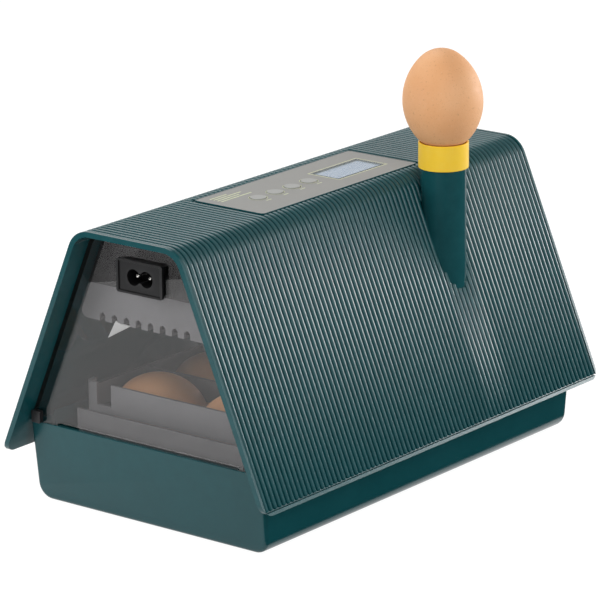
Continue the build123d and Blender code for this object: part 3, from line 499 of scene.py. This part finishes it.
labelLook = {"colour": (0.25, 0.247, 0.232), "shift": 0.05, "mottle": 30.0, "grain": 3000.0,
             "rough": 0.42, "spread": 0.08, "depth": 0.000015, "ior": 1.45,
             "dust": 0.04, "dustScale": 40.0, "dustColour": (0.6, 0.6, 0.58)}
inkLook = {"colour": (0.62, 0.66, 0.44), "shift": 0.12, "mottle": 500.0, "grain": 2500.0,
           "rough": 0.5, "spread": 0.1, "depth": 0.00001, "ior": 1.45}


def makeFilm(name, look):  # printed film, with dust where the look has any
    material, tree, shader = newFinish(name, look["ior"])
    skin = placed(tree, mouldedSkin, Colour=rgba(look["colour"]), Colour_shift=look["shift"],
                  Mottle_scale=look["mottle"], Grain_scale=look["grain"], Roughness=look["rough"],
                  Roughness_spread=look["spread"])
    colour = skin.outputs["Colour"]
    if "dust" in look:
        dust = placed(tree, settledDust, Amount=look["dust"], Scale=look["dustScale"])
        colour = blendColours(tree, dust.outputs[0], colour, rgba(look["dustColour"]))
    dress(tree, shader, colour, skin.outputs["Roughness"], skin.outputs["Height"], look["depth"])
    return material


displayLook = {"scale": 900.0, "offset": 0.0, "gap": 0.04, "between": (0.19, 0.32, 0.51),
               "cells": ((0.22, 0.36, 0.56), (0.235, 0.375, 0.575)), "cloud": (0.30, 0.41, 0.55),
               "cloudScale": 60.0, "cloudMost": 0.35, "rough": (0.18, 0.26), "roughScale": 200.0,
               "depth": 0.000005}
boardLook = {"scale": 150.0, "offset": 0.5, "gap": 0.05, "between": (0.05, 0.22, 0.08),
             "cells": ((0.01, 0.11, 0.05), (0.012, 0.13, 0.06)), "rough": (0.3, 0.4),
             "roughScale": 300.0, "depth": 0.00003}


def makeLattice(name, look):  # cells of a display, or solder mask between copper traces
    material, tree, shader = newFinish(name)
    place = objectPlace(tree)
    lattice = node(tree, "ShaderNodeTexBrick", offset=look["offset"])
    feed(tree, place, lattice.inputs["Vector"])
    lattice.inputs["Scale"].default_value = look["scale"]
    lattice.inputs["Mortar Size"].default_value = look["gap"]
    lattice.inputs["Color1"].default_value = rgba(look["cells"][0])
    lattice.inputs["Color2"].default_value = rgba(look["cells"][1])
    lattice.inputs["Mortar"].default_value = rgba(look["between"])
    colour = lattice.outputs["Color"]
    if "cloud" in look:
        clouds = spread(tree, noise(tree, place, look["cloudScale"], 2.0), 0.0, look["cloudMost"])
        colour = blendColours(tree, clouds, colour, rgba(look["cloud"]))
    rough = spread(tree, noise(tree, place, look["roughScale"], 2.0), *look["rough"])
    dress(tree, shader, colour, rough, lattice.outputs["Fac"], look["depth"])
    return material


finishes = {name: makePlastic(name, look) for name, look in plastics.items()}
finishes.update({name: makeMetal(name, look) for name, look in metals.items()})
finishes.update({name: makeGlass(name, look) for name, look in glasses.items()})
finishes.update(eggshell=makeEggshell(), label_film=makeFilm("label_film", labelLook),
                print_ink=makeFilm("print_ink", inkLook),
                liquid_crystal=makeLattice("liquid_crystal", displayLook),
                circuit_board=makeLattice("circuit_board", boardLook))

nodeFinishes = {
    "green_abs": ["ribbed_cover", "base_tub", "candler_tube"],
    "smoked_acrylic": ["window_hood"],
    "black_abs": ["corner_pads", "control_housing", "power_inlet", "fan_frame", "fan_impeller"],
    "grey_chamber": ["fan_cover", "egg_tray"],
    "grey_floor": ["egg_floor"],
    "white_abs": ["sensor_clip", "water_tray", "turner_crank"],
    "rolled_steel": ["heater", "motor_bracket", "turner_motor"],
    "zinc_screw": ["cover_screws", "housing_screws", "fan_screws", "motor_screws"],
    "nickel_pin": ["inlet_pins", "temperature_sensor"],
    "circuit_board": ["control_board", "power_board", "candler_light"],
    "liquid_crystal": ["display_panel"],
    "clear_film": ["display_window", "candler_lens"],
    "label_film": ["control_label"],
    "button_film": ["button_1", "button_2", "button_3", "button_4"],
    "yellow_silicone": ["candler_ring"],
    "foot_rubber": ["feet"],
    "eggshell": ["candled_egg"] + [name for name in cadNodes if name.startswith("eggs_row_")],
}

for finish, names in nodeFinishes.items():
    for name in names:
        cadNodes[name].material_slots[0].material = finishes[finish]
print("finishes ready")

# geometry node helpers


def newShapeTree(name, inputs):
    tree = bpy.data.node_groups.new(name, "GeometryNodeTree")
    tree.interface.new_socket("Geometry", in_out="INPUT", socket_type="NodeSocketGeometry")
    for label, kind, value in inputs + [("Material", "NodeSocketMaterial", None)]:
        socket = tree.interface.new_socket(label, in_out="INPUT", socket_type=kind)
        if value is not None:
            socket.default_value = value
    tree.interface.new_socket("Geometry", in_out="OUTPUT", socket_type="NodeSocketGeometry")
    return tree, node(tree, "NodeGroupInput"), node(tree, "NodeGroupOutput")


def endTree(tree, given, shape, out):  # every tree ends in real geometry with its material
    real = node(tree, "GeometryNodeRealizeInstances")
    painted = node(tree, "GeometryNodeSetMaterial")
    feed(tree, shape, real.inputs[0])
    feed(tree, real.outputs[0], painted.inputs["Geometry"])
    feed(tree, given.outputs["Material"], painted.inputs["Material"])
    feed(tree, painted.outputs[0], out.inputs[0])


def grow(source, tree, values, name, body):  # the tree's result as a plain mesh that rides on its body
    modifier = source.modifiers.new("shape", "NODES")
    modifier.node_group = tree
    for item in tree.interface.items_tree:
        if item.in_out == "INPUT" and item.name in values:
            modifier[item.identifier] = values[item.name]
    bpy.context.view_layer.update()
    seen = source.evaluated_get(bpy.context.evaluated_depsgraph_get())
    mesh = bpy.data.meshes.new_from_object(seen)
    bpy.data.objects.remove(source)
    mesh.name = name
    shape = bmesh.new()
    shape.from_mesh(mesh)
    bmesh.ops.remove_doubles(shape, verts=shape.verts, dist=1e-6)
    bmesh.ops.recalc_face_normals(shape, faces=shape.faces)
    shape.to_mesh(mesh)
    shape.free()
    piece = bpy.data.objects.new(name, mesh)
    scene.collection.objects.link(piece)
    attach(piece, body)
    return piece


# ribs of the cover

ribs = {"count": 83, "width": 0.0029, "height": 0.0011, "sink": 0.0001, "plainEnd": 0.0017,
        "plainHem": 0.0020, "cornerRadius": 0.0145, "topWidth": 0.0706, "cornerSteps": 10,
        "profileSteps": 9, "labelBorder": 0.0008, "breakGap": 0.0005, "tubeSink": 0.0004,
        "roundEnd": 0.0009, "shortest": 0.0036, "taper": ((0.0, 0.45), (0.3, 0.8), (1.0, 1.0))}

coverLow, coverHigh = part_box("ribbed_cover")
labelLow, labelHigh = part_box("control_label")
tubeLow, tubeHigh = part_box("candler_tube")
lean = (coverHigh.y - ribs["topWidth"] / 2) / (coverHigh.z - coverLow.z)
slopeStretch = sqrt(1 + lean**2)
bedDepth = ribs["height"]
bedRadius = ribs["cornerRadius"] - bedDepth
cornerTurn = (pi / 2 - atan(lean)) / 2
roofHalf = ribs["topWidth"] / 2 - ribs["cornerRadius"] * tan(cornerTurn)  # where the roof starts to bend
slopeStart = roofHalf + bedRadius / slopeStretch  # where the bend has become the slope


def bedHeight(y):  # height of the sunk bed that the ribs stand on, at distance y from the ridge's middle
    y = abs(y)
    if y <= roofHalf:
        return coverHigh.z - bedDepth
    if y < slopeStart:
        return coverHigh.z - ribs["cornerRadius"] + sqrt(bedRadius**2 - (y - roofHalf) ** 2)
    return coverHigh.z - (y + bedDepth * slopeStretch - ribs["topWidth"] / 2) / lean


def ribBreaks(x):  # stretches of y that the label and the candler take out of the rib at x
    taken = []
    border = ribs["labelBorder"]
    if labelLow.x - border - ribs["width"] / 2 < x < labelHigh.x + border + ribs["width"] / 2:
        taken.append((labelLow.y - border - ribs["breakGap"], labelHigh.y + border + ribs["breakGap"]))
    middle = (tubeLow + tubeHigh) / 2
    radius = (tubeHigh.x - tubeLow.x) / 2 - ribs["tubeSink"]
    near = abs(x - middle.x)
    if near < radius:
        half = sqrt(radius**2 - near**2)
        taken.append((middle.y - half, middle.y + half))
    return sorted(taken)


def taperStretch(y):  # the taper is as long on the slope as on the roof, so it takes less of y there
    return lean / slopeStretch if abs(y) > slopeStart else 1.0


def ribPath(low, high):  # points from y low to y high, each with its size, tapering at both ends
    end = ribs["roundEnd"]
    bends = []
    for step in range(ribs["cornerSteps"] + 1):
        bends.append(roofHalf + bedRadius * cos(pi / 2 - 2 * cornerTurn * step / ribs["cornerSteps"]))
    places = sorted([-y for y in bends] + bends)
    points = [(low + end * part * taperStretch(low), size) for part, size in ribs["taper"]]
    points += [(y, 1.0) for y in places if low + end < y < high - end]
    points += [(high - end * part * taperStretch(high), size) for part, size in reversed(ribs["taper"])]
    return points


def makeRibTree():  # half-round profile swept along each line, as wide and high as the point's size says
    tree, given, out = newShapeTree("rib_sweep", [("Width", "NodeSocketFloat", 0.003),
                                                  ("Height", "NodeSocketFloat", 0.001),
                                                  ("Profile steps", "NodeSocketInt", 9)])
    upright = node(tree, "GeometryNodeSetCurveNormal", mode="Z_UP")
    feed(tree, given.outputs["Geometry"], upright.inputs["Curve"])
    arch = node(tree, "GeometryNodeCurveArc")
    arch.inputs["Radius"].default_value = 1.0
    arch.inputs["Start Angle"].default_value = pi
    arch.inputs["Sweep Angle"].default_value = pi
    arch.inputs["Connect Center"].default_value = False
    feed(tree, given.outputs["Profile steps"], arch.inputs["Resolution"])
    closed = node(tree, "GeometryNodeSetSplineCyclic")
    feed(tree, arch.outputs[0], closed.inputs[0])
    closed.inputs["Cyclic"].default_value = True
    size = node(tree, "ShaderNodeCombineXYZ")
    feed(tree, calculate(tree, "MULTIPLY", given.outputs["Width"], 0.5), size.inputs["X"])
    feed(tree, given.outputs["Height"], size.inputs["Y"])
    size.inputs["Z"].default_value = 1.0
    flat = node(tree, "GeometryNodeTransform")
    feed(tree, closed.outputs[0], flat.inputs["Geometry"])
    feed(tree, size.outputs[0], flat.inputs["Scale"])
    sweep = node(tree, "GeometryNodeCurveToMesh")
    feed(tree, upright.outputs[0], sweep.inputs["Curve"])
    feed(tree, flat.outputs[0], sweep.inputs["Profile Curve"])
    feed(tree, node(tree, "GeometryNodeInputRadius").outputs[0], sweep.inputs["Scale"])
    sweep.inputs["Fill Caps"].default_value = True
    smooth = node(tree, "GeometryNodeSetShadeSmooth")
    feed(tree, sweep.outputs[0], smooth.inputs["Geometry"])
    endTree(tree, given, smooth.outputs[0], out)
    return tree


def addRun(curve, x, run):
    spline = curve.splines.new("POLY")
    spline.points.add(len(run) - 1)
    for point, (y, size) in zip(spline.points, run):
        point.co = (x, y, bedHeight(y) - ribs["sink"], 1)
        point.radius = size


def makeRibs():
    lines = bpy.data.curves.new("rib_lines", "CURVE")
    lines.dimensions = "3D"
    span = coverHigh.x - coverLow.x - 2 * ribs["plainEnd"]
    pitch = span / ribs["count"]
    lowest = coverLow.z + ribs["plainHem"]
    reach = ribs["topWidth"] / 2 + (coverHigh.z - lowest) * lean - bedDepth * slopeStretch
    for number in range(ribs["count"]):
        x = coverLow.x + ribs["plainEnd"] + (number + 0.5) * pitch
        start = -reach
        for stop, restart in ribBreaks(x) + [(reach, None)]:
            if stop - start >= ribs["shortest"]:
                addRun(lines, x, ribPath(start, stop))
            start = restart
    source = bpy.data.objects.new("rib_lines", lines)
    scene.collection.objects.link(source)
    values = {"Width": ribs["width"], "Height": ribs["height"] + ribs["sink"],
              "Profile steps": ribs["profileSteps"], "Material": finishes["green_abs"]}
    return grow(source, makeRibTree(), values, "cover_ribs", "lid")


coverRibs = makeRibs()
print("ribs made,", len(coverRibs.data.polygons), "faces")

# print on the control label: rings round the buttons, a frame round the display and plain marks

marks = {"lift": 0.00003, "thick": 0.00003, "ringInside": 0.0049, "ringOutside": 0.0053, "ringSteps": 40,
         "frameGap": 0.0008, "frameWidth": 0.0007, "barLeft": 0.0056, "barLength": 0.0256,
         "barTop": 0.0043, "barPitch": 0.00265, "barShares": (0.55, 0.9, 0.72, 1.0), "barHeight": 0.0011,
         "tickWidth": 0.0042, "tickHeight": 0.0008, "tickDrop": 0.0074}
buttonPlaces = [sum(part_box(f"button_{number}"), Vector()) / 2 for number in range(1, 5)]
screenLow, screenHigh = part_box("display_window")
printZ = labelHigh.z + marks["lift"]


def makeMarkTree():  # a flat square patch, stretched by each point, and a ring at each ring point
    tree, given, out = newShapeTree("label_marks", [("Ring inside", "NodeSocketFloat", 0.005),
                                                    ("Ring outside", "NodeSocketFloat", 0.006),
                                                    ("Ring steps", "NodeSocketInt", 40),
                                                    ("Thickness", "NodeSocketFloat", 0.00003)])
    inside, outside = given.outputs["Ring inside"], given.outputs["Ring outside"]
    width = calculate(tree, "SUBTRACT", outside, inside)
    middle = calculate(tree, "MULTIPLY", calculate(tree, "ADD", outside, inside), 0.5)
    hoop = node(tree, "GeometryNodeCurvePrimitiveCircle")
    feed(tree, middle, hoop.inputs["Radius"])
    feed(tree, given.outputs["Ring steps"], hoop.inputs["Resolution"])
    flat = node(tree, "GeometryNodeCurvePrimitiveQuadrilateral")
    feed(tree, given.outputs["Thickness"], flat.inputs["Width"])
    feed(tree, width, flat.inputs["Height"])
    upright = node(tree, "GeometryNodeSetCurveNormal", mode="Z_UP")
    feed(tree, hoop.outputs[0], upright.inputs["Curve"])
    turned = node(tree, "GeometryNodeTransform")
    feed(tree, flat.outputs[0], turned.inputs["Geometry"])
    turned.inputs["Rotation"].default_value = (0, 0, pi / 2)
    ring = node(tree, "GeometryNodeCurveToMesh")
    feed(tree, upright.outputs[0], ring.inputs["Curve"])
    feed(tree, turned.outputs[0], ring.inputs["Profile Curve"])
    patch = node(tree, "GeometryNodeMeshCube")
    patch.inputs["Size"].default_value = (1, 1, 1)
    ringed = node(tree, "GeometryNodeInputNamedAttribute", data_type="BOOLEAN")
    ringed.inputs["Name"].default_value = "ringed"
    size = node(tree, "GeometryNodeInputNamedAttribute", data_type="FLOAT_VECTOR")
    size.inputs["Name"].default_value = "size"
    rings = node(tree, "GeometryNodeInstanceOnPoints")
    feed(tree, given.outputs["Geometry"], rings.inputs["Points"])
    feed(tree, ringed.outputs[0], rings.inputs["Selection"])
    feed(tree, ring.outputs[0], rings.inputs["Instance"])
    others = node(tree, "FunctionNodeBooleanMath", operation="NOT")
    feed(tree, ringed.outputs[0], others.inputs[0])
    patches = node(tree, "GeometryNodeInstanceOnPoints")
    feed(tree, given.outputs["Geometry"], patches.inputs["Points"])
    feed(tree, others.outputs[0], patches.inputs["Selection"])
    feed(tree, patch.outputs[0], patches.inputs["Instance"])
    feed(tree, size.outputs[0], patches.inputs["Scale"])
    joined = node(tree, "GeometryNodeJoinGeometry")
    tree.links.new(rings.outputs[0], joined.inputs[0])
    tree.links.new(patches.outputs[0], joined.inputs[0])
    endTree(tree, given, joined.outputs[0], out)
    return tree


def makeLabelPrint():
    points, sizes, ringed = [], [], []

    def patch(x, y, width, height):
        points.append((x, y, printZ))
        sizes.append((width, height, marks["thick"]))
        ringed.append(False)

    for spot in buttonPlaces:
        points.append((spot.x, spot.y, printZ))
        sizes.append((1, 1, 1))
        ringed.append(True)
        patch(spot.x, spot.y - marks["tickDrop"], marks["tickWidth"], marks["tickHeight"])
    gap, line = marks["frameGap"], marks["frameWidth"]
    low = (screenLow.x - gap - line, screenLow.y - gap - line)
    high = (screenHigh.x + gap + line, screenHigh.y + gap + line)
    middle = ((low[0] + high[0]) / 2, (low[1] + high[1]) / 2)
    for y in (low[1] + line / 2, high[1] - line / 2):
        patch(middle[0], y, high[0] - low[0], line)
    for x in (low[0] + line / 2, high[0] - line / 2):
        patch(x, middle[1], line, high[1] - low[1] - 2 * line)
    for row, share in enumerate(marks["barShares"]):  # downwards from the label's back left corner
        length = marks["barLength"] * share
        y = labelHigh.y - marks["barTop"] - (row + 0.5) * marks["barPitch"]
        patch(labelLow.x + marks["barLeft"] + length / 2, y, length, marks["barHeight"])
    mesh = bpy.data.meshes.new("mark_points")
    mesh.from_pydata(points, [], [])
    mesh.attributes.new("size", "FLOAT_VECTOR", "POINT").data.foreach_set(
        "vector", [value for size in sizes for value in size])
    mesh.attributes.new("ringed", "BOOLEAN", "POINT").data.foreach_set("value", ringed)
    source = bpy.data.objects.new("mark_points", mesh)
    scene.collection.objects.link(source)
    values = {"Ring inside": marks["ringInside"], "Ring outside": marks["ringOutside"],
              "Ring steps": marks["ringSteps"], "Thickness": marks["thick"],
              "Material": finishes["print_ink"]}
    return grow(source, makeMarkTree(), values, "label_print", "lid")


makeLabelPrint()
print("label printed")

# CAD pieces whose moulded edges are rounded: a merged copy stands for each node

edgeRadii = {
    "ribbed_cover": 0.00045, "base_tub": 0.0004, "candler_tube": 0.00025, "power_inlet": 0.00035,
    "corner_pads": 0.0003, "egg_tray": 0.0003, "fan_cover": 0.0003, "control_housing": 0.0004,
    "sensor_clip": 0.0002, "water_tray": 0.0003, "fan_frame": 0.0003, "motor_bracket": 0.0003,
    "window_hood": 0.0002, "display_window": 0.0001,
}
rounding = {"weld": 2e-6, "flat": radians(0.4), "sharp": radians(32), "segments": 2}
bodyOf = {name: body for body, names in frame["record"]["behaviour"]["bodies"].items() for name in names}


def roundEdges(name, width):
    mesh = bpy.data.meshes.new(name + "_shell")
    shape = bmesh.new()
    shape.from_mesh(cadNodes[name].data)
    bmesh.ops.remove_doubles(shape, verts=shape.verts, dist=rounding["weld"])
    bmesh.ops.dissolve_limit(shape, angle_limit=rounding["flat"], use_dissolve_boundaries=False,
                             verts=shape.verts, edges=shape.edges, delimit={"NORMAL"})
    for face in shape.faces:
        face.smooth = True
    for edge in shape.edges:
        edge.smooth = len(edge.link_faces) == 2 and edge.calc_face_angle(0) < rounding["sharp"]
    shape.to_mesh(mesh)
    shape.free()
    mesh.materials.append(cadNodes[name].material_slots[0].material)
    piece = bpy.data.objects.new(name + "_shell", mesh)
    scene.collection.objects.link(piece)
    bevel = piece.modifiers.new("rounding", "BEVEL")
    bevel.width = width
    bevel.segments = rounding["segments"]
    bevel.limit_method = "ANGLE"
    bevel.angle_limit = rounding["sharp"]
    bevel.harden_normals = True
    bevel.use_clamp_overlap = True
    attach(piece, bodyOf[name])
    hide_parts(name)


for name, width in edgeRadii.items():
    roundEdges(name, width)
print("edges rounded on", len(edgeRadii), "pieces")
